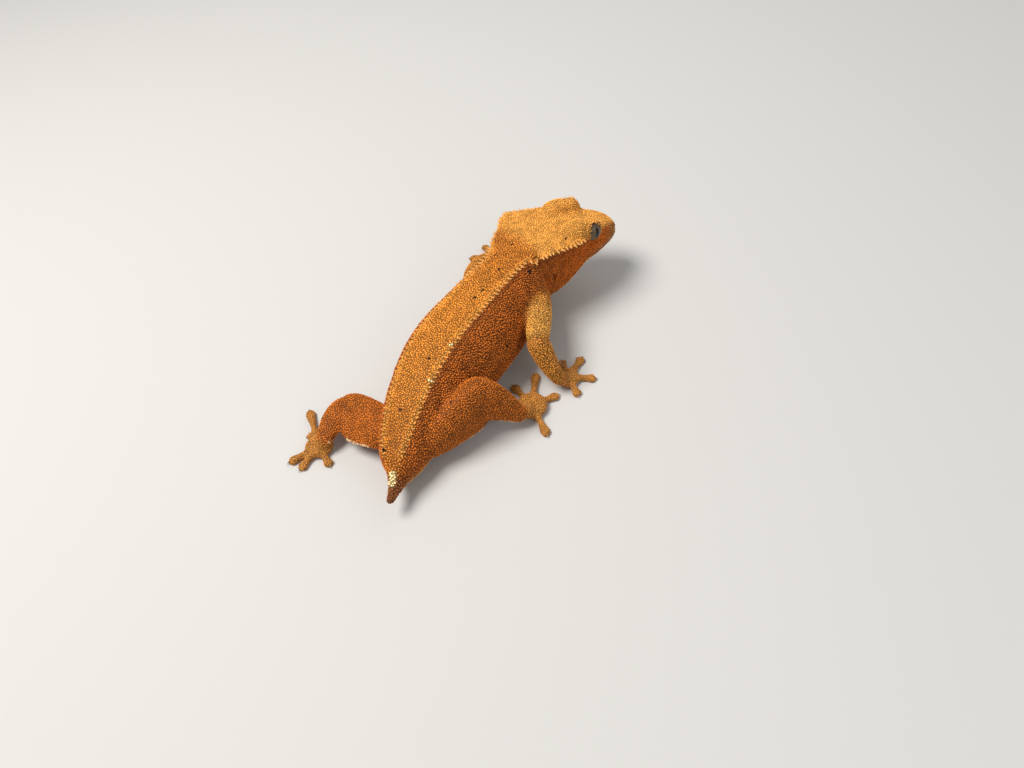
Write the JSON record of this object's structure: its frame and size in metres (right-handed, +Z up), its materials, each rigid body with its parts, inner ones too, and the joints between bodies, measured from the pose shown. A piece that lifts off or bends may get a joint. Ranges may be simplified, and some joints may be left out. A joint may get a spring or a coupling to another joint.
{
  "type": "crested gecko",
  "caption": "Life-size crested gecko that has lost its tail, crouching on its four feet with its head turned to its right.",
  "frame": {"origin": "on the floor, under the middle of the animal's box", "axes": "the trunk points along -Y, the animal's left side is towards +X, +Z is up from the floor it crouches on"},
  "size_m": [0.0658, 0.1006, 0.0244],
  "materials": {
    "skin": "matte, finely granular orange skin",
    "eye": "wet gloss over a dark grey-brown iris with a slit pupil",
    "claw": "smooth dark horn"
  },
  "bodies": {
    "root": {"head": "skin", "neck": "skin", "chest": "skin", "abdomen": "skin", "tail": "skin", "upper_arm_left": "skin", "upper_arm_right": "skin", "forearm_left": "skin", "forearm_right": "skin", "forefoot_left": "skin", "forefoot_right": "skin", "thigh_left": "skin", "thigh_right": "skin", "shin_left": "skin", "shin_right": "skin", "hindfoot_left": "skin", "hindfoot_right": "skin", "eye_left": "eye", "eye_right": "eye"}
  },
  "joints": []
}
